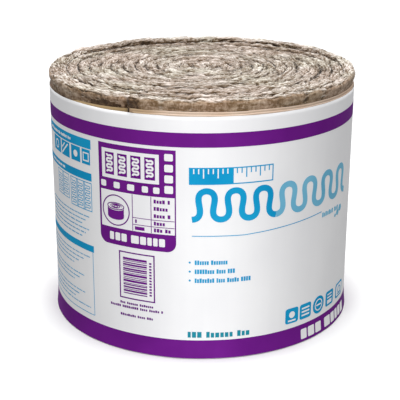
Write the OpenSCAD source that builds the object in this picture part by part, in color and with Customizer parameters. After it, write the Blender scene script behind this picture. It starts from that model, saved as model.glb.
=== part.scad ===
// Roll of kraft-faced wool insulation, standing on its end in a printed wrap.
//
// The blanket is wound anticlockwise inwards, seen from above, so its outermost
// turn begins at the cut tail near the front. Its kraft facing looks outwards,
// and the printed wrap goes round the whole roll once.
// The origin is on the floor, on the roll's axis. +Z is up and -Y is the front.

/* [Roll] */
// Outside diameter of the wrapped roll
roll_d = 460; // [360:5:600]
// Width of the blanket, which is the height of the standing roll
blanket_w = 381; // [300:1:620]
// Rounding of the blanket's upper edge, which is free to swell
shoulder_r = 12; // [6:1:20]
// Rounding of the blanket's lower edge, which the weight presses flat
foot_r = 5; // [2:1:12]

/* [Turns] */
// Thickness of the blanket as it lies squeezed in the roll
turn_t = 17; // [12:0.5:30]
// Smallest radius of the tight eye in the middle
eye_r = 8; // [5:1:30]
// Width of the groove between two turns, on each end of the roll
groove_w = 2.6; // [1:0.1:5]
// Depth of that groove
groove_depth = 3.5; // [1:0.5:8]

/* [Tail] */
// Direction of the blanket's cut end, from +X anticlockwise, in degrees
tail_angle = 245; // [0:1:359]
// Thickness of the crushed cut end, by which the turn beneath it lies further in
tail_step = 10; // [4:0.5:16]
// Angle over which the turn beneath comes back out to the wrap, in degrees
tail_run = 28; // [15:1:60]

/* [Kraft facing] */
// Thickness of the kraft facing
facing_t = 0.6; // [0.4:0.1:1.5]
// How far the facing stands up above the wrap's top edge
facing_rise = 6.6; // [2:0.1:12]
// Height of the facing's lower edge above the floor
facing_lift = 3; // [1:0.5:20]

/* [Printed wrap] */
// Width of the wrap
wrap_w = 354.6; // [250:0.1:560]
// Thickness of the wrap
wrap_t = 0.5; // [0.4:0.1:1.5]
// Height of the wrap's lower edge above the floor
wrap_lift = 1; // [0.5:0.5:20]

/* [Fit] */
// Slack between the blanket and its facing, and between the facing and the wrap
slack = 0.3; // [0.1:0.05:0.8]

/* [Hidden] */
$fn = 180;

// Radii of the skins, from the outside in
wrap_inner_r = roll_d / 2 - wrap_t;
facing_outer_r = wrap_inner_r - slack;
facing_inner_r = facing_outer_r - facing_t;
wool_r = facing_inner_r - slack;

// Height of the facing's upper edge
facing_top = wrap_lift + wrap_w + facing_rise;

// Beneath the tail the turn follows a smaller circle. It touches the roll's own
// circle tail_run before the tail and is tail_step further in at the tail. Its
// shift is rounded to a tenth of a millimetre, so that the arcs meet exactly.
tail_floor_r = wool_r - tail_step;
exact_shift = (wool_r ^ 2 - tail_floor_r ^ 2) / (2 * (wool_r - tail_floor_r * cos(tail_run)));
dip_shift = round(10 * exact_shift) / 10;

// The blanket and its facing are drawn with the start of the dip on +X and the
// tail tail_run further round, and are then turned to their place.
start_angle = tail_angle - tail_run;

// The groove between the turns is a row of half rings, from the tail inwards,
// whose centres lie a quarter of a turn's thickness to either side of the axis.
half_turn = turn_t / 2;
outer_half_r = tail_floor_r - turn_t / 4;
half_rings = floor((outer_half_r - eye_r) / half_turn) + 1;

// How far a cutting shape runs past the surface that it cuts
over = 1;

// Outline of the blanket to one side of the roll's axis
module blanket_outline() {
    square([wool_r - foot_r, blanket_w - shoulder_r]);
    square([wool_r - shoulder_r, blanket_w]);
    translate([0, foot_r])
        square([wool_r, blanket_w - shoulder_r - foot_r]);
    translate([wool_r - shoulder_r, blanket_w - shoulder_r])
        circle(r = shoulder_r);
    translate([wool_r - foot_r, foot_r])
        circle(r = foot_r);
}

// Section of the groove, cut down into a surface at z = 0
module groove_section() {
    polygon([
        [-groove_w / 2, over],
        [-groove_w / 2, 0],
        [0, -groove_depth],
        [groove_w / 2, 0],
        [groove_w / 2, over]
    ]);
}

// The whole groove, one half ring after the other
module turn_groove() {
    rotate(tail_run)
        for (i = [0 : half_rings - 1]) {
            side = i % 2;
            translate([(side == 0 ? 1 : -1) * turn_t / 4, 0, 0])
                rotate_extrude(angle = 180, start = 180 * side)
                    translate([outer_half_r - i * half_turn, 0])
                        groove_section();
        }
}

// Cylinder whose wall the turn follows in the dip
module dip_cylinder(r, low, high) {
    translate([dip_shift, 0, low])
        cylinder(r = r - dip_shift, h = high - low);
}

// The part of a ring that lies over the dip
module over_dip(inner_r, outer_r, low, high) {
    rotate_extrude(angle = tail_run)
        translate([inner_r, low])
            square([outer_r - inner_r, high - low]);
}

// The rest of the ring, from the tail round to the start of the dip
module past_dip(inner_r, outer_r, low, high) {
    rotate_extrude(angle = 360 - tail_run, start = tail_run)
        translate([inner_r, low])
            square([outer_r - inner_r, high - low]);
}

// Glass-wool blanket as one wound block, with the hollow beside its cut end
module wool_blanket() {
    color([0.76, 0.71, 0.66])
        rotate(start_angle)
            difference() {
                rotate_extrude() blanket_outline();
                translate([0, 0, blanket_w]) turn_groove();
                mirror([0, 0, 1]) turn_groove();
                difference() {
                    over_dip(wool_r - 2 * tail_step, wool_r + over, -over, blanket_w + over);
                    dip_cylinder(wool_r, -2 * over, blanket_w + 2 * over);
                }
            }
}

// Kraft paper on the outer turn, which dips in where it goes under the tail
module kraft_facing() {
    color([0.78, 0.66, 0.54])
        rotate(start_angle) {
            past_dip(facing_inner_r, facing_outer_r, facing_lift, facing_top);
            intersection() {
                over_dip(wool_r - 2 * tail_step, wool_r + 2 * over, facing_lift, facing_top);
                difference() {
                    dip_cylinder(facing_outer_r, facing_lift, facing_top);
                    dip_cylinder(facing_inner_r, facing_lift - over, facing_top + over);
                }
            }
        }
}

// Plastic film wrap, glued into a ring round the roll
module printed_wrap() {
    color([0.95, 0.95, 0.96])
        translate([0, 0, wrap_lift])
            difference() {
                cylinder(d = roll_d, h = wrap_w);
                translate([0, 0, -over])
                    cylinder(r = wrap_inner_r, h = wrap_w + 2 * over);
            }
}

wool_blanket();
kraft_facing();
printed_wrap();
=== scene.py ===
# %% [markdown]
# # A roll of kraft-faced wool insulation
# A long glass-wool blanket with brown kraft paper on one face is wound up tight
# and stands on its end. A printed plastic wrap holds it together and leaves both
# ends open, so the wool swells out a little at the top.
# The construction model gives the true sizes. This script builds what the eye
# sees around it: the fibrous wool, the paper's edge, the film and its print.

# %% Load the construction model
import math

import bmesh
import bpy
import numpy as np
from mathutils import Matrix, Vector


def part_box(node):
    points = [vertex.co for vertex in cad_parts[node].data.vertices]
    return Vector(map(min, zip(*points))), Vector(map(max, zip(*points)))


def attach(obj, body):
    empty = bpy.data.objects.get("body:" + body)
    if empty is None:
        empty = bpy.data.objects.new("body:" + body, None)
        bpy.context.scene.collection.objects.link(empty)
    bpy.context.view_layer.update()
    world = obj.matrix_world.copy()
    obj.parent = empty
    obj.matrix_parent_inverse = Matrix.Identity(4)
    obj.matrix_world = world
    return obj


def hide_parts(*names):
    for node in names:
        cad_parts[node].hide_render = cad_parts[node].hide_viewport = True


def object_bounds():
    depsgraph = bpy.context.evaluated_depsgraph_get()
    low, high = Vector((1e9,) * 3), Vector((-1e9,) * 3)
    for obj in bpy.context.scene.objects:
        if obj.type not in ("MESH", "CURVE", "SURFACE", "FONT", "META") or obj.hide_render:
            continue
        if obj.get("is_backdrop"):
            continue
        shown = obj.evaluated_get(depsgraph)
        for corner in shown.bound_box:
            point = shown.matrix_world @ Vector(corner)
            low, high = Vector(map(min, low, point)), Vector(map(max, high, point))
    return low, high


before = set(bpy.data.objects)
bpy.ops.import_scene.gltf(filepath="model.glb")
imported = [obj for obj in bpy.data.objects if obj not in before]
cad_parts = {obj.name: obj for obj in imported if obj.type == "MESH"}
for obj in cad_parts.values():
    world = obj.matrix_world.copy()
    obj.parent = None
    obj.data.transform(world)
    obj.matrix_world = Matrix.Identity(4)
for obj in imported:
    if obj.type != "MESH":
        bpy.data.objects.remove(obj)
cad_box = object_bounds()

scene = bpy.context.scene
MM = 0.001
TURN = 2 * math.pi
print("nodes:", sorted(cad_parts))

# %% [markdown]
# ## Sizes
# Every place is worked out from the boxes of the three construction nodes, so
# the pieces fit without any nudging. Five values are not in a box: where the
# blanket's cut tail lies, how far in the turn beneath it lies there, over what
# angle that turn comes back out, how thick a squeezed turn is, and the radius of
# the tight eye in the middle.

# %% Sizes taken from the model
wool_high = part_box("wool_blanket")[1]
kraft_low, kraft_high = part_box("kraft_facing")
wrap_low, wrap_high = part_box("printed_wrap")

ROLL_TOP = wool_high.z
WOOL_R = round(wool_high.x, 4)
KRAFT_TOP = kraft_high.z
KRAFT_LOW = kraft_low.z
WRAP_TOP = wrap_high.z
WRAP_LOW = wrap_low.z
WRAP_R = round(wrap_high.x, 4)

TAIL_ANGLE = math.radians(245)
TAIL_STEP = 10 * MM
TAIL_RUN = math.radians(28)
TURN_THICK = 17 * MM
EYE_R = 8 * MM
print("wool radius", WOOL_R, "kraft top", round(KRAFT_TOP, 4), "wrap radius", WRAP_R)

# %% [markdown]
# ## Helpers for meshes
# Most pieces here are sheets that follow a rule: a strip wound in a spiral, a
# film round a cylinder, a patch of ink on that film. Each is a grid of points.
# NumPy works out all points of a grid at once, and one function turns any grid
# into a mesh. A second function makes the object and hangs it on the roll. A
# piece can also keep one value for each of its points, for its finish to read.

# %% Grids and pieces
def grid_faces(columns, rows, first=0):
    """Quads of a grid whose point number is first + column * rows + row."""
    quads = []
    for c in range(columns - 1):
        for r in range(rows - 1):
            a = first + c * rows + r
            quads.append((a, a + rows, a + rows + 1, a + 1))
    return quads


def make_piece(name, points, faces, material):
    """A mesh object of the roll, shaded smooth, with its finish."""
    mesh = bpy.data.meshes.new(name)
    mesh.from_pydata(np.asarray(points).reshape(-1, 3).tolist(), [], faces)
    mesh.polygons.foreach_set("use_smooth", [True] * len(mesh.polygons))
    mesh.materials.append(material)
    mesh.update()
    piece = bpy.data.objects.new(name, mesh)
    scene.collection.objects.link(piece)
    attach(piece, "root")
    print(name, len(mesh.vertices), "points", len(mesh.polygons), "faces")
    return piece


def add_modifier(piece, name, kind, **settings):
    """Puts a modifier on a piece and sets its values."""
    modifier = piece.modifiers.new(name, kind)
    for key, value in settings.items():
        setattr(modifier, key, value)


def store(piece, name, kind, values):
    """Keeps one value for each point, for the material to read."""
    field = piece.data.attributes.new(name, kind, "POINT")
    slot = "value" if kind == "FLOAT" else "vector"
    field.data.foreach_set(slot, np.asarray(values, dtype=np.float32).ravel())


print("a grid of 3 by 4 points has", len(grid_faces(3, 4)), "faces")

# %% [markdown]
# ## Smooth noise
# Wool, film and paper are all uneven in a soft way. One function gives smooth
# bumps from a place alone, with no dice, so a surface and all that lies on it
# get the same bumps. The other turns a hard step into a soft one.

# %% Smooth noise
def noise(x, y, seed=0):
    """Smooth random bumps, one to each unit of x and y, from about -1 to 1."""
    x0 = np.floor(x)
    y0 = np.floor(y)
    fx = x - x0
    fy = y - y0
    fx = fx * fx * fx * (fx * (6 * fx - 15) + 10)
    fy = fy * fy * fy * (fy * (6 * fy - 15) + 10)

    def corner(i, j):
        mixed = np.sin((x0 + i) * 127.1 + (y0 + j) * 311.7 + seed * 74.7) * 43758.5453
        return 2 * (mixed - np.floor(mixed)) - 1

    low = corner(0, 0) * (1 - fx) + corner(1, 0) * fx
    high = corner(0, 1) * (1 - fx) + corner(1, 1) * fx
    return low * (1 - fy) + high * fy


def ease(x):
    """0 below 0, 1 above 1, and a soft slope in between."""
    x = np.clip(x, 0, 1)
    return x * x * (3 - 2 * x)


sample = noise(np.linspace(0, 40, 400), np.zeros(400))
print("noise runs from", round(sample.min(), 2), "to", round(sample.max(), 2))

# %% [markdown]
# ## Helpers for finishes
# A finish is a small tree of nodes. Each one below starts from a Principled
# shader with its plain numbers set right on it, and gets its colour and its
# relief from noise. These helpers keep the trees short to read.

# %% Node helpers
def srgb(r, g, b):
    """A screen colour from 0 to 255 as the linear colour that shaders want."""
    def linear(v):
        v = v / 255
        return v / 12.92 if v <= 0.04045 else ((v + 0.055) / 1.055) ** 2.4
    return (linear(r), linear(g), linear(b), 1.0)


class Finish:
    """A new material with a Principled shader, and short ways to add nodes."""

    def __init__(self, name, roughness, specular=0.5):
        self.material = bpy.data.materials.new(name)
        self.material.use_nodes = True
        self.tree = self.material.node_tree
        self.shader = self.tree.nodes["Principled BSDF"]
        self.shader.inputs["Roughness"].default_value = roughness
        self.shader.inputs["Specular IOR Level"].default_value = specular

    def node(self, kind, **settings):
        """A node of that kind, with its settings."""
        made = self.tree.nodes.new("ShaderNode" + kind)
        for key, value in settings.items():
            setattr(made, key, value)
        return made

    def link(self, source, target):
        self.tree.links.new(source, target)

    def noise(self, vector, scale, detail=2.0, stretch=(1, 1, 1), roughness=0.5):
        """Noise on a vector. stretch above 1 packs the pattern tighter that way."""
        squeeze = self.node("Mapping")
        squeeze.inputs["Scale"].default_value = stretch
        self.link(vector, squeeze.inputs["Vector"])
        made = self.node("TexNoise")
        made.inputs["Scale"].default_value = scale
        made.inputs["Detail"].default_value = detail
        made.inputs["Roughness"].default_value = roughness
        self.link(squeeze.outputs["Vector"], made.inputs["Vector"])
        return made.outputs["Fac"]

    def ramp(self, factor, *stops):
        """Colours along a value. Each stop is (place, colour)."""
        made = self.node("ValToRGB")
        points = made.color_ramp.elements
        while len(points) < len(stops):
            points.new(0.5)
        for point, (place, colour) in zip(points, stops):
            point.position = place
            point.color = colour
        self.link(factor, made.inputs["Fac"])
        return made.outputs["Color"]

    def math(self, operation, a, b):
        """Two values added, subtracted or multiplied. Each may be a socket."""
        made = self.node("Math", operation=operation)
        for socket, value in zip(made.inputs, (a, b)):
            if isinstance(value, (int, float)):
                socket.default_value = value
            else:
                self.link(value, socket)
        return made.outputs["Value"]

    def mix(self, factor, a, b, blend="MIX"):
        """Colour a passing into colour b. Each may be a colour or a socket."""
        made = self.node("Mix", data_type="RGBA", blend_type=blend)
        if isinstance(factor, (int, float)):
            made.inputs[0].default_value = factor
        else:
            self.link(factor, made.inputs[0])
        for socket, value in ((made.inputs[6], a), (made.inputs[7], b)):
            if isinstance(value, tuple):
                socket.default_value = value
            else:
                self.link(value, socket)
        return made.outputs[2]

    def colour(self, value):
        """Makes this the colour that the eye sees."""
        self.link(value, self.shader.inputs["Base Color"])

    def bump(self, *heights):
        """Relief from (value, height in metres) pairs, laid one on the other."""
        normal = None
        for value, height in heights:
            made = self.node("Bump")
            made.inputs["Distance"].default_value = height
            self.link(value, made.inputs["Height"])
            if normal is not None:
                self.link(normal, made.inputs["Normal"])
            normal = made.outputs["Normal"]
        self.link(normal, self.shader.inputs["Normal"])

    def object_place(self):
        """Where a point lies on its own piece, in metres."""
        return self.node("TexCoord").outputs["Object"]

    def field(self, name, output="Fac"):
        """A value that the mesh keeps for each of its points."""
        return self.node("Attribute", attribute_name=name).outputs[output]


print("half grey on a screen is", round(srgb(128, 128, 128)[0], 3), "for a shader")

# %% [markdown]
# ## How the blanket is wound
# The blanket starts at its cut tail near the front and runs inwards,
# anticlockwise from above. One number says where along it a point lies: the
# angle wound since the tail. Its outer face is at the full radius for most of
# the first turn, dips in where it goes under the tail, and then comes in by one
# thickness with every turn. The next turn's outer face is this turn's inner one.
# The dip is an arc of a smaller circle, moved off the middle so that it leaves
# the full circle without a kink.

# %% The winding rule
DIP_START = TURN - TAIL_RUN
TIGHTEST = 0.6 * MM
dip_shift = (WOOL_R ** 2 - (WOOL_R - TAIL_STEP) ** 2) / (
    2 * (WOOL_R - (WOOL_R - TAIL_STEP) * math.cos(TAIL_RUN)))
dip_r = WOOL_R - dip_shift


def face_radius(wound):
    """Radius of the blanket's outer face where it has been wound that far."""
    wound = np.asarray(wound, dtype=float)
    into_dip = np.clip(wound - DIP_START, 0, TAIL_RUN)
    across = dip_shift * np.sin(into_dip)
    first_turn = dip_shift * np.cos(into_dip) + np.sqrt(dip_r ** 2 - across ** 2)
    later = WOOL_R - TAIL_STEP - TURN_THICK * (wound / TURN - 1)
    return np.where(wound < TURN, first_turn, np.maximum(later, TIGHTEST))


LAST = TURN * (1 + (WOOL_R - TAIL_STEP - EYE_R) / TURN_THICK)


def wound_steps(step):
    """Angles and lengths along the blanket, about one step apart."""
    angles = [0.0]
    while angles[-1] < LAST:
        angles.append(angles[-1] + step / float(face_radius(angles[-1])))
    angles = np.array(angles)
    lengths = np.concatenate([[0], np.cumsum(np.diff(angles) * face_radius(angles[1:]))])
    return angles, lengths


def place(radius, wound, height):
    """Points in space from a radius, an angle wound from the tail and a height."""
    angle = TAIL_ANGLE + wound
    return np.stack([radius * np.cos(angle), radius * np.sin(angle), height], axis=-1)


print("blanket length", round(wound_steps(10 * MM)[1][-1], 2), "m in",
      round(LAST / TURN, 1), "turns")

# %% [markdown]
# ## The wool's finish
# Glass wool is a mat of fine fibres, greige where light falls on the tips and
# dark brown down in the gaps. This light and dark is painted into the colour, as
# painted light and painted shade. The mesh hands over two things: how light a
# point is painted, mostly from how deep it lies, and its place measured along
# and across the blanket. That value picks the colour, and noise drawn out along
# the blanket gives the fine strands. The blanket's side is felted: there a
# finer, rounder grain takes the strands' place, and the colour is browner,
# partly as painted shade.

# %% Wool finish
def wool_finish():
    """Strands and tufts over painted light and shade that comes with the mesh."""
    wool = Finish("greige_glass_wool", roughness=0.95, specular=0.15)
    wool.shader.inputs["Sheen Weight"].default_value = 0.15
    wool.shader.inputs["Sheen Roughness"].default_value = 0.6
    along = wool.field("strand", "Vector")
    here = wool.object_place()
    felt_and_side_shade = wool.field("felt_and_side_shade")

    strands = wool.noise(along, 1.0, detail=3, stretch=(85, 560, 560))
    tufts = wool.noise(along, 1.0, detail=2, stretch=(45, 160, 160))
    fine = wool.noise(here, 430, detail=2, stretch=(1, 1, 0.6))
    blotches = wool.noise(here, 75, detail=2)
    grain = wool.math(
        "ADD",
        wool.math("MULTIPLY", fine, 0.45),
        wool.math("MULTIPLY", blotches, 0.45))
    grain = wool.math("ADD", grain, 0.06)
    strands = wool.mix(wool.math("MULTIPLY", felt_and_side_shade, 0.85), strands, grain)

    strand_light = wool.math("MULTIPLY", wool.math("SUBTRACT", strands, 0.5), 1.25)
    tuft_light = wool.math("MULTIPLY", wool.math("SUBTRACT", tufts, 0.5), 0.3)
    # The mesh's value paints light on the crests and shade in the gaps and recesses. Strands and
    # tufts add to it, partly as painted light and shade of their relief.
    lit = wool.math("ADD", wool.field("painted_light_shade_and_tone"), strand_light)
    lit = wool.math("ADD", lit, tuft_light)
    body = wool.ramp(
        lit,
        (0.0, srgb(63, 47, 31)),
        (0.26, srgb(117, 97, 75)),
        (0.52, srgb(171, 157, 145)),
        (0.78, srgb(208, 199, 191)),
        (1.0, srgb(240, 232, 227)))
    # The felted side is tinted browner: partly the felt's own colour, partly painted shade.
    browner_side_shade = wool.mix(felt_and_side_shade, (1, 1, 1, 1), (1.02, 0.9, 0.77, 1))
    patches = wool.noise(here, 14, detail=2)
    warm = wool.ramp(
        patches,
        (0.38, (1.0, 0.955, 0.93, 1)),
        (0.5, (0.98, 0.975, 0.96, 1)),
        (0.62, (0.95, 0.975, 0.92, 1)))
    wool.colour(wool.mix(1.0, wool.mix(1.0, body, browner_side_shade, "MULTIPLY"), warm, "MULTIPLY"))
    wool.bump((strands, 1.6 * MM), (tufts, 1.2 * MM))
    return wool.material


WOOL = wool_finish()
print("finish:", WOOL.name)

# %% [markdown]
# ## The wool's fibres and gaps
# The top shows the blanket's long edge, wound up. Its fibres are matted into
# slanted crests with slits between them, and each turn is parted from the next
# by a gap. Most gaps are pressed shut, and a few gape and look dark. The relief
# is laid into the mesh itself, which gives true gaps and a true ragged outline.
# Bump alone would not.

# %% The fibres' relief
def ridges(along, across, slant, long, wide, seed):
    """Crests of matted fibre, each about long by wide, slanted to the blanket."""
    u = along * math.cos(slant) + across * math.sin(slant)
    v = across * math.cos(slant) - along * math.sin(slant)
    return 1 - np.abs(noise(u / long, v / wide, seed))


def fibre_relief(along, across, seed):
    """Height of the fibres, and how much of it is a crest (0 to 1), which later sets the colour's
    painted light and shade.
    """
    swing = 4.0 * MM * noise(along / (42 * MM), across / (30 * MM), seed + 1)
    swing = swing + 1.3 * MM * noise(along / (15 * MM), across / (10 * MM), seed + 7)
    across = across + swing
    mat = np.maximum(
        ridges(along, across, math.radians(11), 14 * MM, 2.1 * MM, seed + 2),
        ridges(along, across, math.radians(-13), 12 * MM, 1.9 * MM, seed + 3))
    mat = np.clip((mat - 0.55) / 0.45, 0, 1)
    fine = ridges(along, across, math.radians(3), 9 * MM, 1.5 * MM, seed + 4)
    fine = np.clip((fine - 0.5) / 0.5, 0, 1)
    slits = np.abs(noise(along / (38 * MM), across / (5.5 * MM), seed + 5))
    slits = 1 - np.clip(slits / 0.2, 0, 1)
    slits = slits * ease(0.5 + 1.4 * noise(along / (30 * MM), across / (12 * MM), seed + 8))
    lumps = noise(along / (34 * MM), across / (11 * MM), seed + 6)
    height = (1.6 * (mat - 0.5) + 0.8 * (fine - 0.5) - 3.0 * slits + 1.3 * lumps) * MM
    # Slits lower the crest value, and that paints shade into them.
    crest = 0.57 + 0.46 * (mat - 0.5) + 0.34 * (fine - 0.5) - 0.7 * slits + 0.14 * lumps
    return height, np.clip(0.5 + 1.25 * (crest - 0.5), 0, 1)


def gap_depth(wound):
    """How deep the gap beside a turn's outer face is."""
    flank = np.cos(TAIL_ANGLE + wound) ** 2
    rim = ease((TURN * 4 - wound) / TURN)
    openness = 0.45 + 0.95 * noise(wound * 1.7, wound * 0 + 3.5, 5)
    openness = openness + 0.02 * flank + 0.35 * rim * (1 - 0.5 * flank)
    return (2.2 + 11 * ease(openness)) * MM


gaps = gap_depth(np.linspace(0, LAST, 2000)) / MM
print("gaps are", round(gaps.min(), 1), "to", round(gaps.max(), 1), "mm deep")

# %% [markdown]
# ## Two cross-sections
# Each turn is a soft pillow that stands up in its middle and falls away to a gap
# on both sides. The outermost turn also shows a strip of its side, above the
# paper, where the wool swells out over the wrap. So there are two cross-sections:
# a fuller one for the outer turn and a plain pillow for the rest. Turns never
# stand level. Their crowns wander up and down, and at the back the second and
# third turn have slipped a few millimetres below the first.

# %% Two cross-sections
TOP_LEVEL = ROLL_TOP - 3.6 * MM
SHOULDER = 4.5 * MM
SWELL = 2.6 * MM
INNER_BEND = 4 * MM
TUCKED_IN = 9 * MM
BOX_GAP = 0.3 * MM


def crown_slip(wound):
    """How far the second and the third turn have slipped down at the back."""
    back = ease((np.sin(TAIL_ANGLE + wound) - 0.1) / 0.6)
    turns = wound / TURN
    second = ease((turns - 0.9) / 0.2) * (1 - ease((turns - 2.2) / 1.5))
    third = ease((turns - 1.9) / 0.2) * (1 - ease((turns - 3.1) / 2))
    return (3.2 * second + 2.8 * third) * MM * back


def level(wound, radius):
    """Height of a turn's crown: turns stand unevenly, and sag a little inwards."""
    rim = ease((TURN * 4.5 - wound) / TURN)
    uneven = (1.6 + 1.3 * rim) * MM * noise(wound * 1.1, wound * 0 + 7.5, 15)
    uneven = uneven + 1.2 * MM * noise(wound * 6.3, wound * 0 + 2.5, 16)
    uneven = uneven + 1.4 * MM * rim * noise(wound * 21, wound * 0 + 5.5, 17)
    lean_back = 1.6 * MM * np.sin(TAIL_ANGLE + wound) * ease((TURN * 1.6 - wound) / TURN)
    sag = 1.5 * MM * (1 - radius / WOOL_R)
    return TOP_LEVEL + uneven + lean_back - crown_slip(wound) - sag


def outer_section(wound):
    """Side, shoulder, crown and inner flank of the outermost turn."""
    outer = face_radius(wound)[:, None] - BOX_GAP
    inner = face_radius(wound + TURN)[:, None]
    crown = level(wound, outer[:, 0])[:, None]
    deep = gap_depth(wound + TURN)[:, None]

    side = np.linspace(0, 1, 18)[None, :]
    side_z = KRAFT_TOP - TUCKED_IN + (crown - SHOULDER - KRAFT_TOP + TUCKED_IN) * side
    side_r = outer + SWELL * ease((side_z - KRAFT_TOP) / (7 * MM))

    bend = np.linspace(0, math.pi / 2, 9)[None, 1:]
    bend_r = outer + SWELL - SHOULDER * (1 - np.cos(bend)) ** 0.8
    bend_z = crown - SHOULDER + SHOULDER * np.sin(bend) ** 0.8

    across = np.linspace(0, 1, 22)[None, 1:]
    start = outer + SWELL - SHOULDER
    end = inner + INNER_BEND
    crown_r = start + (end - start) * across
    crown_z = np.repeat(crown, across.size, axis=1)

    drop = np.linspace(0, math.pi / 2, 7)[None, 1:]
    drop_r = inner + INNER_BEND - 3.8 * MM * np.sin(drop)
    drop_z = crown - deep * (1 - np.cos(drop))
    last_r = inner + 0.2 * MM
    last_z = crown - deep - TUCKED_IN
    radius = np.concatenate([side_r, bend_r, crown_r, drop_r, last_r], axis=1)
    height = np.concatenate([side_z, bend_z, crown_z, drop_z, last_z], axis=1)
    return radius, height


def pillow_section(wound, rows):
    """A plain pillow between the gaps on both sides of a turn."""
    t = np.linspace(-1, 1, rows)[None, :]
    lean = np.clip(t / 0.93, -1, 1) * math.pi / 2
    outer = face_radius(wound)[:, None]
    inner = face_radius(wound + TURN)[:, None]
    deep = np.where(t < 0, gap_depth(wound)[:, None], gap_depth(wound + TURN)[:, None])
    sideways = np.sign(lean) * np.abs(np.sin(lean)) ** 0.85
    radius = (outer + inner) / 2 - (outer - inner) / 2 * sideways
    crown = level(wound, outer[:, 0])[:, None]
    height = crown - deep * (1 - np.abs(np.cos(lean)) ** 0.55)
    height = height - TUCKED_IN * (np.abs(t) > 0.94)
    return radius, height


crowns = level(np.linspace(0, TURN, 400), np.full(400, WOOL_R)) / MM
print("the outer crown stands", round(crowns.min(), 1), "to", round(crowns.max(), 1), "mm high")

# %% [markdown]
# ## How light the wool is painted
# Crests catch the light and gaps swallow it, and the colour paints this in:
# painted light on the crests, and painted shade in gaps, recesses and on steep
# faces. The side above the paper was rubbed smooth by the wrapping, so it is
# felted and even, with a ragged border to the loose wool on top, and it is
# painted darker as shade. The blanket's cut end is rough and is painted dark as
# shade. Each rule below says how strong the relief is and how light each point is
# painted.

# %% Light and dark of the wool
CUT_END_RUN = 0.055


def side_share(wound, out_r):
    """1 on the roll's side and 0 on its top, with a ragged border between them."""
    ragged = noise(wound * WOOL_R / (11 * MM), wound * 0 + 3.1, 73)
    ragged = 0.22 * ragged + 0.14 * noise(wound * WOOL_R / (4 * MM), wound * 0 + 1.7, 74)
    return ease((out_r - 0.5 + ragged) / 0.4)


def outer_relief_and_shade(wound, sunk, out_r, steep, crest):
    """The side is felted smooth and painted darker, as painted shade. The blanket's cut end is
    rough and painted dark, as painted shade.
    """
    side = side_share(wound, out_r)
    cut_end = ease(1.6 - wound / CUT_END_RUN)
    stripes = noise(wound * WOOL_R / (2.0 * MM), sunk * 3, 71)
    # The side's lower value is painted shade, over a felt grain of upright stripes.
    felted_side_shade = 0.35 + 0.24 * (crest - 0.5) + 0.06 * stripes
    # The cut end is painted darker still, as painted shade.
    felted_side_shade = felted_side_shade - 0.5 * cut_end * (0.8 + 0.8 * stripes)
    inward = ease((0.5 - out_r) / 0.5)
    crown = crest - (0.6 * sunk + 0.5 * steep) * inward - 0.12 * (1 - inward) - 0.2 * cut_end
    return 1 - (0.75 - 0.45 * cut_end) * side, crown * (1 - side) + felted_side_shade * side


def inner_relief_and_shade(wound, sunk, out_r, steep, crest):
    """Inner turns are painted darker towards their gaps and on steep faces, as painted shade, and
    more so on the two flanks.
    """
    flank = np.cos(TAIL_ANGLE + wound) ** 2
    return 1 - 0.6 * sunk, crest - 0.6 * sunk - (0.42 + 0.25 * flank) * steep - 0.06 * flank


print("felted share of a point that faces out or up:",
      side_share(np.zeros(1), np.ones(1))[0], side_share(np.zeros(1), np.zeros(1))[0])

# %% [markdown]
# ## The two pieces of the top
# Both pieces are made the same way: a cross-section is swept along the winding,
# and the fibres' relief pushes each point in or out. Below the paper's edge the
# wool stays boxed in. The outer turn begins with a rounded cut end, which is the
# blanket's tail. Together the two stand for the construction model's blanket.

# %% Sweep the top
def sweep(name, wound, length, section, seed, relief_and_shade):
    """Lays fibres on a swept section and makes it a piece."""
    radius, height = section
    columns, rows = radius.shape
    run_r = np.gradient(radius, axis=1)
    run_z = np.gradient(height, axis=1)
    size = np.hypot(run_r, run_z) + 1e-9
    out_r = run_z / size
    out_z = -run_r / size

    across = np.cumsum(np.hypot(run_r, run_z), axis=1)
    along = np.repeat(length[:, None], rows, axis=1)
    shift = np.floor(wound / TURN)[:, None] * 0.37
    relief, crest = fibre_relief(along, across + shift, seed)
    # Low points and steep faces are painted darker from sunk and steep, as painted shade.
    sunk = np.clip((TOP_LEVEL - height - 1.5 * MM) / (9 * MM), 0, 1)
    steep = np.clip(1 - out_z, 0, 1) ** 1.5
    strength, crest = relief_and_shade(wound[:, None], sunk, out_r, steep, crest)

    radius = radius + out_r * relief * strength
    height = np.minimum(height + out_z * relief * strength, ROLL_TOP + 4 * MM)
    first_turn = wound[:, None] < TURN
    boxed_in = np.minimum(radius, face_radius(wound)[:, None] - BOX_GAP)
    radius = np.where((height < KRAFT_TOP) & first_turn, boxed_in, radius)
    spread = np.repeat(wound[:, None], rows, axis=1)
    points = place(np.maximum(radius, 0.2 * MM), spread, height)

    piece = make_piece(name, points, grid_faces(columns, rows), WOOL)
    # The colour's lightness: painted light on the crests, painted shade in the gaps.
    store(piece, "painted_light_shade_and_tone", "FLOAT", np.clip(crest, 0, 1))
    store(piece, "felt_and_side_shade", "FLOAT", side_share(wound[:, None], out_r) * first_turn)
    strand = np.stack([along, across, height * 0 + seed], axis=-1)
    store(piece, "strand", "FLOAT_VECTOR", strand)
    return piece


CUT_END_DEPTH = 25 * MM


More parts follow.
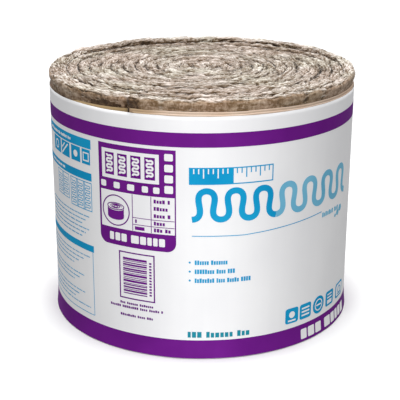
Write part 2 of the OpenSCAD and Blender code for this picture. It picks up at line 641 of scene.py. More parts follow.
def outer_turn():
    """The first turn, with its side and its rounded cut end."""
    wound = np.linspace(0, TURN + 0.02, 880)
    length = wound * WOOL_R
    radius, height = outer_section(wound)
    cap = 7
    closing = np.sqrt(1 - (1 - np.arange(1, cap) / cap) ** 2)[:, None]
    middle_r = (radius[0].max() + radius[0].min()) / 2
    radius = np.concatenate([middle_r + (radius[0] - middle_r) * closing, radius])
    below = TOP_LEVEL - CUT_END_DEPTH
    height = np.concatenate([below + (height[0] - below) * closing ** 0.3, height])
    lead = -0.022 * (1 - np.arange(1, cap) / cap)
    wound = np.concatenate([lead, wound])
    length = np.concatenate([lead * WOOL_R, length])
    return sweep("wool_outer_turn", wound, length, (radius, height), 11, outer_relief_and_shade)


def inner_turns():
    """All later turns, in to the eye."""
    wound, length = wound_steps(2.35 * MM)
    keep = wound > TURN - 0.3
    wound = wound[keep]
    length = length[keep]
    return sweep("wool_inner_turns", wound, length, pillow_section(wound, 27), 23, inner_relief_and_shade)


outer_wool = outer_turn()
inner_wool = inner_turns()
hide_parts("wool_blanket")
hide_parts("wool_blanket")

# %% [markdown]
# ## The wool at the foot
# The other long edge of the blanket carries the roll's weight, so its turns are
# pressed flat on the floor and only shallow grooves part them. It is hardly ever
# seen, so this sweep is coarser. Its rows run the other way, to face downwards.
# The outer turn spreads a little there, and meets the film all round.

# %% Sweep the foot
FOOT_SPREAD = 1.2 * MM


def foot_turns():
    """A coarse sweep of the pressed lower edge."""
    wound, length = wound_steps(5.5 * MM)
    rows = 11
    t = np.linspace(1, -1, rows)[None, :]
    outer = face_radius(wound)[:, None] + FOOT_SPREAD * (wound[:, None] < DIP_START)
    inner = face_radius(wound + TURN)[:, None]
    radius = (outer + inner) / 2 - (outer - inner) / 2 * t
    along = np.repeat(length[:, None], rows, axis=1)
    relief, crest = fibre_relief(along, radius, 37)
    groove = np.abs(t) ** 7
    height = np.maximum(0.6 * MM - 0.5 * relief, 0) + 3.4 * MM * groove
    spread = np.repeat(wound[:, None], rows, axis=1)
    points = place(np.maximum(radius, 0.2 * MM), spread, height)
    piece = make_piece("wool_foot", points, grid_faces(len(wound), rows), WOOL)
    # The grooves are painted darker, as painted shade.
    store(piece, "painted_light_shade_and_tone", "FLOAT", np.clip(crest - 0.05 - 0.5 * groove, 0, 1))
    strand = np.stack([along, radius, height * 0 + 3], axis=-1)
    store(piece, "strand", "FLOAT_VECTOR", strand)


foot_turns()

# %% [markdown]
# ## Loose fibres
# A few thousand fibres have worked loose and arch over the mat. They soften the
# outline and break up the light. Each is a thin three-sided thread. The random
# numbers start from a fixed seed, so the roll comes out the same every time.

# %% Scatter the threads
KNOTS = 5
SIDES = 3


def thread_points(base, turn, slant, long, arch, thick):
    """One arching thread: KNOTS rings of SIDES points, turned to its place."""
    run = np.array([math.sin(slant), math.cos(slant), 0])
    turned = np.array([
        [math.cos(turn), -math.sin(turn), 0],
        [math.sin(turn), math.cos(turn), 0],
        [0, 0, 1]])
    points = []
    for knot in range(KNOTS):
        s = 2 * knot / (KNOTS - 1) - 1
        centre = base + run * long / 2 * s + np.array([0, 0, arch * (1 - s * s) - 0.5 * MM])
        for corner in range(SIDES):
            tip = TURN * corner / SIDES
            off = np.array([run[1] * math.cos(tip), -run[0] * math.cos(tip), math.sin(tip)])
            points.append((turned @ (centre + off * thick)).tolist())
    return points


def thread_faces(first):
    """The thread's skin, and a cap on both ends."""
    faces = []
    for knot in range(KNOTS - 1):
        for corner in range(SIDES):
            a = first + SIDES * knot + corner
            b = first + SIDES * knot + (corner + 1) % SIDES
            faces.append((a, a + SIDES, b + SIDES, b))
    last = first + SIDES * (KNOTS - 1)
    faces.append((first, first + 1, first + 2))
    faces.append((last + 2, last + 1, last))
    return faces


def loose_fibres(count, seed):
    """Threads scattered over the top, each lying roughly along its turn."""
    dice = np.random.default_rng(seed)
    points = []
    faces = []
    for _ in range(count):
        wound = LAST * (1 - math.sqrt(1 - dice.random() * 0.995))
        share = dice.random()
        on_rim = wound < TURN
        outer = float(face_radius(wound)) + (2 * MM if on_rim else 0)
        inner = float(face_radius(wound + TURN))
        radius = outer + (inner - outer) * share
        crown = float(level(np.array([wound]), np.array([outer]))[0])
        fall = 4.5 * MM * max(0, 1 - share / 0.12) ** 1.6 if on_rim else 0
        base = np.array([radius, 0, crown + 0.6 * MM - fall])
        slant = dice.normal(0, 0.35)
        long = (5 + 12 * dice.random()) * MM
        arch = (0.4 + 1.9 * dice.random() ** 2) * MM
        thick = (0.13 + 0.09 * dice.random()) * MM
        faces += thread_faces(len(points))
        points += thread_points(base, TAIL_ANGLE + wound, slant, long, arch, thick)
    piece = make_piece("wool_loose_fibres", points, faces, WOOL)
    pale = 0.45 + 0.5 * dice.random(count)
    store(piece, "painted_light_shade_and_tone", "FLOAT", np.repeat(pale, KNOTS * SIDES))
    store(piece, "strand", "FLOAT_VECTOR", np.array(points))


loose_fibres(3200, seed=7)

# %% [markdown]
# ## The printed wrap
# The wrap is a plastic film, pulled once round the roll and glued to itself at
# the back. It is a strip a little longer than the way round, so that its end
# lies on its beginning. Soft upright waves keep it from looking like a pipe, and
# it splays a little at the foot, where the soft roll spreads under its weight.
# One function gives the film's surface, and the film and all its print use it.

# %% The film's surface
FRONT = math.radians(270)
SEAM_ANGLE = math.radians(78)
LAP = math.radians(11)
FILM = 0.3 * MM
WAVE_HEIGHT = 0.5 * MM
LAP_LIFT = 0.5 * MM
SPLAY = 2.4 * MM
SPLAY_TOP = 34 * MM


def film_point(angle, height, lift=0.0):
    """A point on the film. angle runs from the seam once round and over the lap."""
    arc = angle * WRAP_R
    waves = 0.45 * noise(arc / 0.055, height / 0.9, 31)
    waves = waves + 0.3 * noise(arc / 0.021, height / 0.5, 32)
    waves = waves + 0.25 * noise(arc / 0.05, height / 0.06, 33)
    over_lap = ease((angle - SEAM_ANGLE - TURN + math.radians(6)) / math.radians(6))
    splay = SPLAY * np.clip(1 - height / SPLAY_TOP, 0, 1) ** 2
    radius = WRAP_R - 0.1 * MM + FILM + WAVE_HEIGHT * waves + LAP_LIFT * over_lap + splay + lift
    return np.stack([radius * np.cos(angle), radius * np.sin(angle), height], axis=-1)


once_round = np.linspace(SEAM_ANGLE, SEAM_ANGLE + TURN + LAP, 400)
rim = film_point(once_round, np.full(400, WRAP_TOP))
rim_r = np.hypot(rim[:, 0], rim[:, 1]) / MM
print("the film's upper edge lies", round(rim_r.min(), 1), "to", round(rim_r.max(), 1), "mm out")

# %% [markdown]
# ## The film and its finish
# The film is a grid with a real thickness, because its upper edge is in plain
# sight. The edge is not cut quite straight. The plastic is milky white, so it
# scatters light softly and hardly shines.

# %% The film and its finish
def wrap_film():
    """The film as one strip, from its glued edge once round and over the lap."""
    columns = 520
    rows = 62
    angle = np.linspace(SEAM_ANGLE, SEAM_ANGLE + TURN + LAP, columns)[:, None]
    share = np.linspace(0, 1, rows)[None, :]
    rim = 0.35 * MM * noise(angle * 9, angle * 0, 41)
    height = WRAP_LOW + (WRAP_TOP + rim - WRAP_LOW) * share
    angle = np.repeat(angle, rows, axis=1)
    points = film_point(angle, height)
    faces = grid_faces(columns, rows)
    piece = make_piece("wrap_film", points, faces, FILM_FINISH)
    add_modifier(piece, "film_thickness", "SOLIDIFY", thickness=FILM, offset=-1)
    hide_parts("printed_wrap")


def film_finish():
    """Milky white plastic: faint clouds, a fine grain, and upright streaks of painted shade for the
    film's soft waves.
    """
    film = Finish("white_wrap_film", roughness=0.5, specular=0.01)
    here = film.object_place()
    clouds = film.noise(here, 9, detail=3)
    grain = film.noise(here, 700, detail=2)
    streaks = film.noise(here, 70, detail=2, stretch=(1, 1, 0.06))
    white = film.ramp(clouds, (0.3, srgb(236, 236, 238)), (0.7, srgb(243, 243, 244)))
    # The upright streaks darken the white, as painted shade of the film's waves.
    film.colour(film.mix(film.math("MULTIPLY", streaks, 0.3), white, srgb(226, 226, 229)))
    film.bump((clouds, 0.4 * MM), (grain, 0.02 * MM))
    return film.material


FILM_FINISH = film_finish()
wrap_film()

# %% [markdown]
# ## Ink on the film
# All print is laid out flat, in millimetres to the right of the front line and
# above the floor, as it would be on the film before it is wrapped. A shape is a
# grid of such places. The same rule that bends the film then bends the ink, so
# it follows every soft wave, a hair's breadth outside it.

# %% Flat shapes for the print
def between(across, bottom, top):
    """The area between two lines that run from left to right."""
    rows = max(2, int(np.max(top - bottom) / 9) + 2)
    share = np.linspace(0, 1, rows)[None, :]
    height = bottom[:, None] + (top - bottom)[:, None] * share
    return np.stack([np.repeat(across[:, None], rows, axis=1), height], axis=-1)


def block(left, right, low, high, low_round=0, high_round=0):
    """A filled rectangle. Its lower and upper corners may be round."""
    across = np.linspace(left, right, max(2, int((right - left) / 3.5) + 2))
    corner = max(low_round, high_round)
    if corner:
        bend = corner * (1 - np.cos(np.linspace(0, math.pi / 2, 10)))
        across = np.concatenate([across, left + bend, right - bend])
        across = np.unique(np.round(across, 3))
    edge = np.minimum(across - left, right - across)

    def bite(corner):
        short = np.clip(corner - edge, 0, corner)
        return corner - np.sqrt(corner ** 2 - short ** 2)

    return between(across, low + bite(low_round), high - bite(high_round))


def disc(across, height, radius):
    """A filled circle, which is a block with its corners rounded right off."""
    left = across - radius
    right = across + radius
    corner = 0.98 * radius
    return block(left, right, height - radius, height + radius, corner, corner)


print("a disc is a grid of", disc(0, 0, 5).shape[:2], "places")

# %% [markdown]
# ## Lines and blank words
# Line drawings are strokes of even width along a path. Small print becomes rows
# of plain blocks with the rhythm of words, which keeps the look of a busy label
# and says nothing. The looping wave is the sign for insulation on builders'
# drawings, and it takes the place of a name.

# %% Lines and blank words
def stroke(path, width):
    """A line of even width along a smooth path."""
    path = np.asarray(path, dtype=float)
    run = np.gradient(path, axis=0)
    run = run / np.hypot(run[:, 0], run[:, 1])[:, None]
    side = np.stack([-run[:, 1], run[:, 0]], axis=-1) * width / 2
    return np.stack([path - side, path, path + side], axis=1)


def line(start, end, width):
    """A straight stroke."""
    length = math.dist(start, end)
    share = np.linspace(0, 1, max(2, int(length / 3.5) + 2))[:, None]
    return stroke(np.array(start) * (1 - share) + np.array(end) * share, width)


def ring(across, height, radius, width, squash=1.0):
    """A round stroke, or an oval one."""
    turn = np.linspace(0, TURN, 49)
    sideways = across + radius * np.cos(turn)
    upward = height + radius * squash * np.sin(turn)
    return stroke(np.stack([sideways, upward], axis=-1), width)


def outline(left, right, low, high, width):
    """The four sides of a box, none of which overlaps another."""
    return [
        block(left, left + width, low, high),
        block(right - width, right, low, high),
        block(left + width, right - width, low, low + width),
        block(left + width, right - width, high - width, high),
    ]


def batt_wave(start, pitch, laps, low, high, width, upright=False):
    """The looping line that stands for insulation in builders' drawings."""
    t = np.arange(laps[0], laps[1] + 0.001, 1 / 36)
    along = start + pitch * (t + 0.125 * np.sin(4 * math.pi * t))
    swing = (low + high) / 2 - (high - low) / 2 * np.cos(2 * math.pi * t)
    if upright:
        return stroke(np.stack([swing, along], axis=-1)[::-1], width)
    return stroke(np.stack([along, swing], axis=-1), width)


WORD_LENGTHS = (5, 4, 7, 3, 6, 8, 4)


def blank_words(left, right, low, tall, wide, seed):
    """A line of small blocks, spaced like words but saying nothing."""
    shapes = []
    across = left
    word = seed
    letters = 0
    while across + wide < right:
        pick = 0.5 + 0.5 * float(noise(np.float64(across * 0.61), np.float64(seed * 2.11), 61))
        width = wide * (0.75 + 0.4 * pick)
        height = tall * (1.0 if pick > 0.6 or letters == 0 else 0.82)
        shapes.append(block(across, across + width, low, low + height))
        across += width + 0.3 * wide
        letters += 1
        if letters == WORD_LENGTHS[word % len(WORD_LENGTHS)]:
            across += 0.9 * wide
            word += 1
            letters = 0
    return shapes


print("100 mm of small print holds", len(blank_words(0, 100, 0, 4, 3, 1)), "blocks")

# %% [markdown]
# ## From flat shapes to ink on the roll
# Real ink is far thinner than the film. Here each shape is a thin closed solid,
# a tenth of a millimetre thick, that stands just clear of the film. A solid has
# crisp rims from every side and never flickers against the film, and colour laid
# over colour is simply lifted a little more.

# %% From flat shapes to ink on the roll
INK = 0.1 * MM
INK_LIFT = 0.14 * MM
OVER_INK = 2.2 * INK_LIFT
OVER_WHITE = 3.4 * INK_LIFT
CRISP = 0.7


def ink_shape(shape, lift):
    """Points and faces of one shape, bent on to the film, with the ink's thickness."""
    closed = np.allclose(shape[0], shape[-1])
    if closed:
        shape = shape[:-1]
    columns, rows = shape.shape[:2]
    flat = shape.reshape(-1, 2) * MM
    angle = FRONT + flat[:, 0] / WRAP_R
    points = np.concatenate([
        film_point(angle, flat[:, 1], lift),
        film_point(angle, flat[:, 1], lift - INK)])
    under = columns * rows
    low = [c * rows for c in range(columns)]
    high = [c * rows + rows - 1 for c in range(columns)]
    outer = grid_faces(columns, rows)
    if closed:
        low.append(0)
        high.append(rows - 1)
        outer += [(under - rows + r, r, r + 1, under - rows + r + 1) for r in range(rows - 1)]
        rims = [low, high[::-1]]
    else:
        rims = [low, list(range(under - rows, under)), high[::-1], list(range(rows - 1, -1, -1))]
    faces = outer + [tuple(under + n for n in quad[::-1]) for quad in outer]
    for rim in rims:
        faces += [(under + a, under + b, b, a) for a, b in zip(rim, rim[1:])]
    return points, faces


def ink(name, shapes, material, lift=INK_LIFT):
    """All shapes of one colour and one layer, as one piece with crisp rims."""
    points = []
    faces = []
    for shape in shapes:
        more, quads = ink_shape(shape, lift)
        faces += [tuple(n + len(points) for n in quad) for quad in quads]
        points += more.tolist()
    piece = make_piece(name, points, faces, material)
    solid = bmesh.new()
    solid.from_mesh(piece.data)
    for edge in solid.edges:
        edge.smooth = edge.calc_face_angle(0) < CRISP
    solid.to_mesh(piece.data)
    solid.free()


print("a small block becomes", len(ink_shape(block(0, 3, 0, 3), INK_LIFT)[1]), "faces")

# %% [markdown]
# ## Ink finishes
# Ink on plastic film is thin and a little uneven. Faint clouds shift its shade,
# and a fine grain roughens its shine, so that no area is one flat colour. There
# is one purple, and there are three blues: a full one, a pale one, and a greener
# one for the line at the foot.

# %% Ink finish
def ink_finish(name, thin, full):
    """Ink that wanders between its shade where thin and its shade where full."""
    made = Finish(name, roughness=0.5, specular=0.02)
    here = made.object_place()
    clouds = made.noise(here, 16, detail=3)
    streaks = made.noise(here, 60, detail=2, stretch=(1, 1, 0.08))
    grain = made.noise(here, 900, detail=1)
    shade = made.ramp(clouds, (0.25, full), (0.75, thin))
    made.colour(made.mix(made.math("MULTIPLY", streaks, 0.22), shade, thin))
    made.bump((clouds, 0.3 * MM), (grain, 0.015 * MM))
    return made.material


PURPLE = ink_finish("purple_ink", srgb(112, 31, 136), srgb(97, 22, 120))
BLUE = ink_finish("blue_ink", srgb(30, 160, 208), srgb(12, 141, 194))
TEAL = ink_finish("teal_ink", srgb(40, 141, 160), srgb(22, 124, 148))
LIGHT_BLUE = ink_finish("pale_blue_ink", srgb(126, 190, 217), srgb(98, 172, 206))
print("inks:", ", ".join(made.name for made in (PURPLE, BLUE, TEAL, LIGHT_BLUE)))

# %% [markdown]
# ## The two bands
# Purple bands run right round the wrap, one just under its top edge and one
# along its foot. They start where the film's loose end stops, and run over the
# lap, so they look unbroken.

# %% Bands
UPPER_BAND = (313, 333)
LOWER_BAND = (1.2, 28.7)


def band(low, high):
    """A band round the whole film, from low to high."""
    first = (SEAM_ANGLE + LAP * 0.96 - FRONT) * WRAP_R / MM
    last = (SEAM_ANGLE + TURN + LAP - FRONT) * WRAP_R / MM
    return block(first, last, low, high)


ink("print_bands", [band(*LOWER_BAND), band(*UPPER_BAND)], PURPLE)

# %% [markdown]
# ## Drawings for the panel
# Two small drawings stand in for words: a stud wall filled with batts, which is
# what the roll is for, and a roll lying ready beside its sizes. Both are made of
# the same blocks and strokes as all the rest.

# %% Drawings for the panel
def stud_wall(left, right, low, high):
    """Studs between two plates, with a batt's wave in each bay."""
    plate = 5
    shapes = [block(left, right, low, low + plate), block(left, right, high - plate, high)]
    bays = 4
    stud = 5.5
    step = (right - left - stud) / bays
    for k in range(bays + 1):
        at = left + k * step
        shapes.append(block(at, at + stud, low + plate, high - plate))
    for k in range(bays):
        at = left + k * step + stud
        inner_left = at + 3.4
        inner_right = at + step - stud - 3.4
        start = low + plate + 3.5
        shapes.append(batt_wave(start, 8.6, (0, 3), inner_left, inner_right, 2.8, upright=True))
    return shapes


def roll_drawing(across, height, radius, tall):
    """A small roll: its side, and its round end with a spiral."""
    x = np.linspace(-1, 1, 25)
    arc = 0.36 * radius * np.sqrt(1 - x ** 2)
    side = between(across + radius * x, height - tall - arc, height - arc - 1.6)
    t = np.linspace(0, 2.6, 80)
    wind = np.stack([
        across + radius * 0.72 * (1 - t / 3.2) * np.cos(TURN * t),
        height + radius * 0.26 * (1 - t / 3.2) * np.sin(TURN * t)], axis=-1)
    return [side, ring(across, height, radius, 1.3, 0.36), stroke(wind, 1.1)]


print("the wall takes", len(stud_wall(0, 90, 0, 40)), "shapes, the roll",
      len(roll_drawing(0, 0, 13, 15)))

# %% [markdown]
# ## The purple panel
# The panel tells what the roll is for. It has the stud wall and plain white
# marks, and below them a white table with the small roll. White shapes are laid
# over the purple, which looks the same as film left bare and keeps each shape
# simple.

# %% Purple panel and its white marks
panel = [block(-153.4, -34.7, 161.5, 308.3, low_round=13)]
ink("print_panel", panel, PURPLE)

marks = stud_wall(-147, -58, 259, 301)
for middle, wide in ((-145, 9), (-122.5, 10), (-100, 11), (-78.5, 9), (-62, 9)):
    marks.append(block(middle - wide / 2, middle + wide / 2, 245.5, 254.5, 2, 2))
for low, high in ((247, 258), (262, 273), (277.5, 288), (293, 303)):
    marks.append(block(-50.5, -38.5, low, high, 2, 2))
marks.append(block(-150, -36.4, 187, 241))
panel_foot = [
    (-136, -129), (-126.5, -118.5), (-116.5, -108), (-101, -89),
    (-87, -78), (-76, -69.5), (-67.5, -61), (-59, -50.5),
]
for left, right in panel_foot:
    marks.append(block(left, right, 168.5, 180.2, 1.5, 1.5))
ink("print_panel_marks", marks, FILM_FINISH, lift=OVER_INK)

# %% [markdown]
# ## The white table
# On the white table a ring holds the small roll, and thin rules part rows of
# plain blocks. They are purple on white on purple, so they lie highest of all.

# %% Purple lines on the white table
table = [
    block(-98.4, -97.4, 187.5, 240.6),
    block(-70.4, -69.4, 187.5, 240.6),
    block(-97.4, -70.4, 206.6, 207.5),
    block(-69.4, -36.8, 206.6, 207.5),
    block(-97.4, -70.4, 196.6, 197.5),
    block(-69.4, -36.8, 196.6, 197.5),
    ring(-125, 213, 22, 1.7),
]
table += roll_drawing(-125, 219, 13.5, 15)
table_rows = [(231.5, -42), (221, -45), (210.5, -41), (199.5, -46), (189.5, -40)]
for row, (low, right) in enumerate(table_rows):
    table += blank_words(-66, right, low, 5.4, 3.4, 20 + row)
table += [block(-94, -91.5, 199.6, 204.6), block(-94.5, -80, 189.4, 194.4)]
ink("print_table", table, PURPLE, lift=OVER_WHITE)

# %% [markdown]
# ## The block of bars
# A framed block of bars stands below the panel. Its bars follow a plain wave of
# thick and thin and stand for no number.

# %% Block of bars
def plain_bars(left, right, low, high):
    """Bars one above the other, thick and thin by a plain wave."""
    shapes = []
    height = low
    count = 0
    while height < high:
        thick = 0.9 + 2.4 * (0.5 + 0.5 * math.sin(count * 2.3)) ** 2
        space = 0.8 + 1.0 * (0.5 + 0.5 * math.sin(count * 2.6 + 1))
        shapes.append(block(left, right, height, height + thick))
        height += thick + space
        count += 1
    return shapes


bars = outline(-121.5, -65.7, 82, 154, 1.9)
bars += plain_bars(-115, -77.5, 90, 145)
for k in range(12):
    bars.append(block(-74, -70.5, 91.5 + 4.4 * k, 94 + 4.4 * k))
for low, left, right in ((73.3, -121, -66), (67.2, -138, -52), (54.6, -121, -68)):
    bars += blank_words(left, right, low, 3.6, 2.5, int(low))
ink("print_bars", bars, PURPLE)

# %% [markdown]
# ## The right-hand group
# A tape-measure strip, the insulation wave, a rule under it, three listed lines
# and a row of small squares, all in blue. The second half of the wave is paler,
# and the line at the foot is a greener blue.

# %% Blue print
def tape_strip(left, right, low, high):
    """A strip of tape measure, of which the left half is filled in."""
    middle = (left + right) / 2
    shapes = [block(left, middle, low, high)]
    shapes += outline(middle, right, low, high, 1.6)
    white = []
    for k in range(1, 18):
        at = left + k * (right - left) / 18
        long = (high - low) * (0.62 if k % 3 == 0 else 0.36)
        tick = block(at - 0.8, at + 0.8, high - long, high - 1.7)
        (white if at < middle - 1 else shapes).append(tick)
    return shapes, white


tape, tape_white = tape_strip(-17, 101, 261, 285)
blue = tape + [batt_wave(-13, 39.9, (0, 3), 211, 252, 8.8)]
blue += [line((-13, 187), (60, 186.5), 1.1), line((60, 186.5), (195, 195.5), 1.1)]
for low, right in ((144.5, 37), (131, 50), (117.5, 70)):
    blue.append(disc(-16, low + 3.4, 1.5))
    blue += blank_words(-9, right, low, 6.6, 2.7, int(low))

squares = [(128, 152), (155, 179), (217, 241), (251, 282)]
for left, right in squares[:3]:
    blue.append(block(left, right, 36.5, 60.5, 4, 4))
blue.append(disc(197.5, 48.5, 14))
blue += [block(left, right, 36.5, 60.5, 5, 5) for left, right in squares[3:]]
ink("print_blue", blue, BLUE)
ink("print_foot_line", blank_words(-19, 71, 33, 9, 5.6, 3), TEAL)

pale = [batt_wave(-13, 39.9, (3, 7), 211, 252, 8.8)]
pale += blank_words(197, 250, 186, 7, 3.6, 9)
pale += [disc(243, 181, 4.4), disc(252, 186, 5.2), disc(235, 178.5, 2.6)]
ink("print_pale_blue", pale, LIGHT_BLUE)

# %% [markdown]
# ## White marks on blue and purple
# Each small square holds a plain sign of its own: a dot, lines, a ring. The
# lower band carries a row of white blocks. White lies over the colour, as on the
# panel, and the last square has blue again on its white.

# %% White marks on blue and purple
def white_marks():
    """The tape's ticks, the squares' signs and the lower band's blocks."""
    white = list(tape_white)
    white += [disc(140, 50, 5.2), block(133, 147, 39.5, 42)]
    for low in (41.5, 47, 52.5):
        white.append(block(159, 175, low, low + 2.5))
    white += [ring(197.5, 48.5, 8.6, 1.6), block(191.5, 203.5, 47.4, 49.6)]
    white += [block(222, 236, 40, 46), block(222, 236, 49, 51), block(222, 236, 54, 56)]
    white += [block(254, 279, 39.5, 57.5, 4, 4)]
    band_blocks = [
        (158, 170), (173, 187), (190, 204), (214, 231),
        (234, 246), (249, 259), (262, 272), (275, 289),
    ]
    for left, right in band_blocks:
        white.append(block(left, right, 5.2, 20.8, 2, 2))
    return white


ink("print_white_marks", white_marks(), FILM_FINISH, lift=OVER_INK)
inner = [ring(266.5, 48.5, 5.5, 1.6), block(259, 274, 41.6, 43.2)]
ink("print_last_square", inner, BLUE, lift=OVER_WHITE)

# %% [markdown]
# ## The left-hand group
# Fitting hints stand far round to the left: three headers, four small squares,
# two line drawings of batts between studs, and faint lines in place of text.

# %% Left-hand group
def batt_drawing(left, right, low, high, bays, width):
    """A framed line drawing of batts between studs."""
    shapes = outline(left, right, low, high, width)
    step = (right - left) / bays
    for k in range(1, bays):
        at = left + k * step
        shapes.append(block(at - 1.6, at - 1.6 + width, low + width, high - width))
        shapes.append(block(at + 1.0, at + 1.0 + width, low + width, high - width))
    pitch = 7.2
    laps = (0, int((high - low - 4) / pitch))
    for k in range(bays):
        at = left + k * step
        inner_right = at + step - 3.6
        shapes.append(batt_wave(low + 3, pitch, laps, at + 3.2, inner_right, width, upright=True))
    return shapes


hints = []
for low, high in ((292.6, 306.2), (245.7, 257.2), (138, 148)):
    hints.append(block(-322, -169, low, high))
for left, right in ((-282, -251), (-247, -221), (-216, -193), (-189, -171)):
    hints.append(block(left, right, 269, 291))
hints += batt_drawing(-221, -169.5, 200, 243, 3, 1.1)
hints += batt_drawing(-268, -226, 206, 243, 2, 0.9)
for row in range(6):
    hints += blank_words(-300, -176 - 9 * (row % 3), 190 - 6.6 * row, 1.7, 1.7, 31 + row)
hints += [block(-171.8, -170.9, 38.5, 138), block(-322, -171.8, 38, 38.9)]
for row in range(13):
    if row not in (4, 8):
        hints += blank_words(-314, -178 - 14 * (row % 4), 128 - 6.7 * row, 1.6, 1.7, 41 + row)
ink("print_hints", hints, BLUE)

# %% [markdown]
# ## White marks on the left-hand group
# The headers carry plain blocks, and each small square a plain sign, in white
# over the blue as before.

# %% White marks on the left-hand group
hint_marks = [
    line((-245, 272), (-226, 288), 2.4),
    line((-245, 280), (-236, 288), 2.0),
    disc(-204.5, 280, 5),
    ring(-266, 280, 6, 1.8),
]
hint_marks += outline(-186.5, -173.5, 273.5, 286.5, 1.8)
hint_marks += blank_words(-300, -215, 297, 4.2, 2.6, 71)
hint_marks += blank_words(-300, -235, 249.5, 3.8, 2.4, 72)
ink("print_hint_marks", hint_marks, FILM_FINISH, lift=OVER_INK)

# %% [markdown]
# ## The kraft facing
# The blanket's paper face looks outwards. Only its edge shows, as a tan line
# between the wool and the wrap. The paper is folded over along its edge, so the
# line is double: a tab lies outside the main sheet and ends a little lower.
# The paper is a light tan, brightened as painted light along its edge, where it
# catches the light, and it turns golden and darker near the blanket's cut end.
# Just below its edge it lies in the wool's and the film's shade, and that is
# painted in as a darker, duller colour.

# %% Kraft finish
def kraft_finish():
    """Pulp streaks over a soft blotch, from a tan brightened as painted light to golden, with
    painted shade below the edge.
    """
    kraft = Finish("brown_kraft_paper", roughness=0.8, specular=0.1)
    here = kraft.object_place()
    blotch = kraft.noise(here, 26, detail=3)
    pulp = kraft.noise(here, 500, detail=2, stretch=(1, 1, 0.4))
    # A light tan brightened as painted light, for the edge where it catches the light.
    tan_with_painted_light = kraft.ramp(blotch, (0.3, srgb(243, 213, 189)), (0.7, srgb(252, 231, 212)))
    golden = kraft.ramp(blotch, (0.3, srgb(178, 150, 104)), (0.7, srgb(205, 176, 126)))
    sheet = kraft.mix(kraft.field("tone"), tan_with_painted_light, golden)
    # Painted shade just below the edge, where the wool and the film shade the paper.
    sheet = kraft.mix(kraft.math("MULTIPLY", kraft.field("shade"), 0.65), sheet, srgb(146, 118, 96))
    kraft.colour(kraft.mix(kraft.math("MULTIPLY", pulp, 0.25), sheet, srgb(186, 154, 124)))
    kraft.bump((pulp, 0.15 * MM))
    return kraft.material


KRAFT = kraft_finish()
print("finish:", KRAFT.name)

# %% [markdown]
# ## The two layers of paper
# Both layers are one rule with other numbers. The paper follows the blanket's
# outer face, so it dips in with the turn beneath the cut end. Its edge runs
# lower there and on the left, and a little lower on the right. Its last
# millimetre leans in towards the wool. Only above the wrap does the tab stand
# off the sheet.

# %% Sweep the paper
PAPER_OUT = 0.6 * MM
PAPER_THICK = 0.5 * MM
TAB_LOW = 3.4 * MM
TAB_OUT = 1.0 * MM
LEFT_DROP = 8 * MM
DIP_DROP = 3.2 * MM
RIGHT_DROP = 1.2 * MM
LEAN_IN = 0.7 * MM


def paper_sheet(name, top_drop, lift, wound):
    """One layer of the paper, from the foot of the roll up to its edge."""
    rows = 26
    share = 1 - (1 - np.linspace(0, 1, rows)[None, :]) ** 2.6
    wound = wound[:, None]
    angle = TAIL_ANGLE + wound
    left = ease((-np.cos(angle) - 0.66) / 0.22)
    right = ease((np.cos(angle) - 0.4) / 0.4)
    dipping = ease((wound - DIP_START + 0.25) / 0.25)
    edge = KRAFT_TOP - 0.8 * MM - top_drop + 0.5 * MM * noise(wound * 9, wound * 0, 51)
    edge = edge - np.maximum(LEFT_DROP * left, DIP_DROP * dipping)
    edge = edge - RIGHT_DROP * right
    height = KRAFT_LOW + (edge - KRAFT_LOW) * share
    outside = lift * ease((height - WRAP_TOP + 3 * MM) / (5 * MM))
    outside = outside - LEAN_IN * ease(1 - (edge - height) / (1.2 * MM))
    wound = np.repeat(wound, rows, axis=1)
    points = place(face_radius(wound) + PAPER_OUT + outside, wound, height)
    piece = make_piece(name, points, grid_faces(len(points), rows), KRAFT)
    tone = ease(1.3 - wound / 0.2) * 0.7 + ease((wound - DIP_START + 0.5) / 0.4) * 0.9
    store(piece, "tone", "FLOAT", np.clip(tone, 0, 1))
    # The shade value paints shade from about a millimetre below the edge, except near the dip.
    below = (edge - height) / MM
    shade = ease((below - 0.9) / 0.8) * (1 - ease((wound - DIP_START + 0.6) / 0.4))
    store(piece, "shade", "FLOAT", shade)
    add_modifier(piece, "paper_thickness", "SOLIDIFY", thickness=PAPER_THICK, offset=0)
    return piece


facing = paper_sheet("kraft_sheet", 0, 0, np.linspace(0, TURN, 700))
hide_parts("kraft_facing")
tab_run = np.linspace(0.02, DIP_START - 0.05, 640)
paper_sheet("kraft_folded_tab", TAB_LOW, TAB_OUT, tab_run)

# %% [markdown]
# ## Floor and air
# The roll stands on a plain white floor, in even light from all round. The floor
# shows the short shadow at the foot and throws no light back, so the lower half
# of the wrap keeps the shade that it has from the lamps.

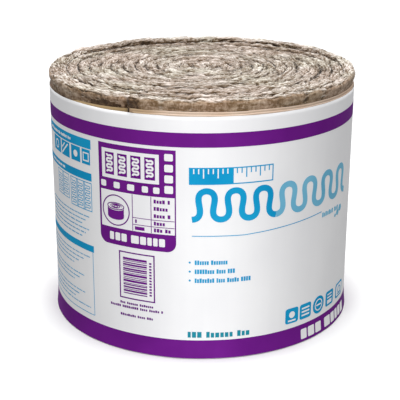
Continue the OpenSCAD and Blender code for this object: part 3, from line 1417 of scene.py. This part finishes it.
# %% Floor and air
def studio_floor():
    """A wide white sheet that takes shadows and throws no light back."""
    mesh = bpy.data.meshes.new("studio_floor")
    reach = 12
    corners = [
        (-reach, -reach, 0),
        (reach, -reach, 0),
        (reach, reach, 0),
        (-reach, reach, 0),
    ]
    mesh.from_pydata(corners, [], [(0, 1, 2, 3)])
    floor = bpy.data.objects.new("studio_floor", mesh)
    scene.collection.objects.link(floor)
    paper = Finish("studio_floor_white", roughness=0.9, specular=0.0)
    paper.shader.inputs["Base Color"].default_value = (0.75, 0.75, 0.75, 1)
    mesh.materials.append(paper.material)
    floor.visible_diffuse = False
    floor.visible_glossy = False
    floor.visible_shadow = False
    floor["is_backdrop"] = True


def studio_air(strength):
    """Even light from all round. Seen directly, it is plain white."""
    world = bpy.data.worlds.new("studio_air")
    world.use_nodes = True
    tree = world.node_tree
    seen = tree.nodes.new("ShaderNodeLightPath")
    pick = tree.nodes.new("ShaderNodeMix")
    pick.data_type = "FLOAT"
    pick.inputs[2].default_value = strength
    pick.inputs[3].default_value = 1.0
    tree.links.new(seen.outputs["Is Camera Ray"], pick.inputs[0])
    air = tree.nodes["Background"]
    air.inputs["Color"].default_value = (1, 1, 1, 1)
    tree.links.new(pick.outputs[0], air.inputs["Strength"])
    scene.world = world


studio_floor()
studio_air(0.5)
print("world:", scene.world.name)

# %% [markdown]
# ## Lamps
# A narrow upright soft box close to the front draws the gentle brightening down
# the middle of the wrap, and a wide one further off carries it round to the
# sides. A third stands behind the roll and lights its back. Light from overhead
# falls on the wool and makes the shadow on the floor.

# %% Lamps
LAMP_HEIGHT = 1.3


def strip_light(name, distance, angle, width, power):
    """An upright soft box, level with the roll's middle and facing it."""
    lamp = bpy.data.lights.new(name, "AREA")
    lamp.shape = "RECTANGLE"
    lamp.size = width
    lamp.size_y = LAMP_HEIGHT
    lamp.energy = power
    holder = bpy.data.objects.new(name, lamp)
    scene.collection.objects.link(holder)
    across = distance * math.cos(angle)
    along = distance * math.sin(angle)
    holder.location = (across, along, ROLL_TOP / 2)
    holder.rotation_euler = (math.pi / 2, 0, angle + math.pi / 2)
    holder.visible_camera = False
    print(name, "stands", distance, "m from the middle and gives", power, "W")


def overhead_light(strength, spread):
    """Light from straight above. A wider spread gives a softer shadow."""
    lamp = bpy.data.lights.new("overhead", "SUN")
    lamp.energy = strength
    lamp.angle = spread
    holder = bpy.data.objects.new("overhead", lamp)
    scene.collection.objects.link(holder)


strip_light("front_strip", distance=0.45, angle=FRONT, width=0.12, power=0.92)
strip_light("front_wide", distance=0.9, angle=FRONT, width=0.5, power=0.7)
strip_light("back_strip", distance=0.9, angle=FRONT + math.pi, width=0.5, power=2)
overhead_light(strength=3.4, spread=math.radians(24))

# %% [markdown]
# ## The camera
# The camera looks down on the roll from the front, through a long lens, so that
# the roll's sides stay nearly upright in the picture. It is held a hair askew,
# as a camera mostly is.

# %% Camera
LENS = 93.67
STAND = (0, -1.5603, 0.7006)
TILT = 1.2372
ROLL = -0.00246
SWING = 0.00235

camera = bpy.data.objects.new("camera", bpy.data.cameras.new("camera"))
scene.collection.objects.link(camera)
camera.data.lens = LENS
camera.data.sensor_width = 36
camera.location = STAND
camera.rotation_euler = (TILT, ROLL, SWING)
scene.camera = camera
scene.view_settings.view_transform = "Standard"
print("the camera looks", round(90 - math.degrees(TILT), 1), "degrees down through", LENS, "mm")

# %% [markdown]
# ## The sizes at the end
# The box round everything that is seen should stay close to the box round the
# construction model. Both are written out, so that they can be compared.

# %% Print both boxes and finish
for name, box in (("construction model", cad_box), ("all that is seen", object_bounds())):
    print(name, "from", [round(v, 4) for v in box[0]], "to", [round(v, 4) for v in box[1]])
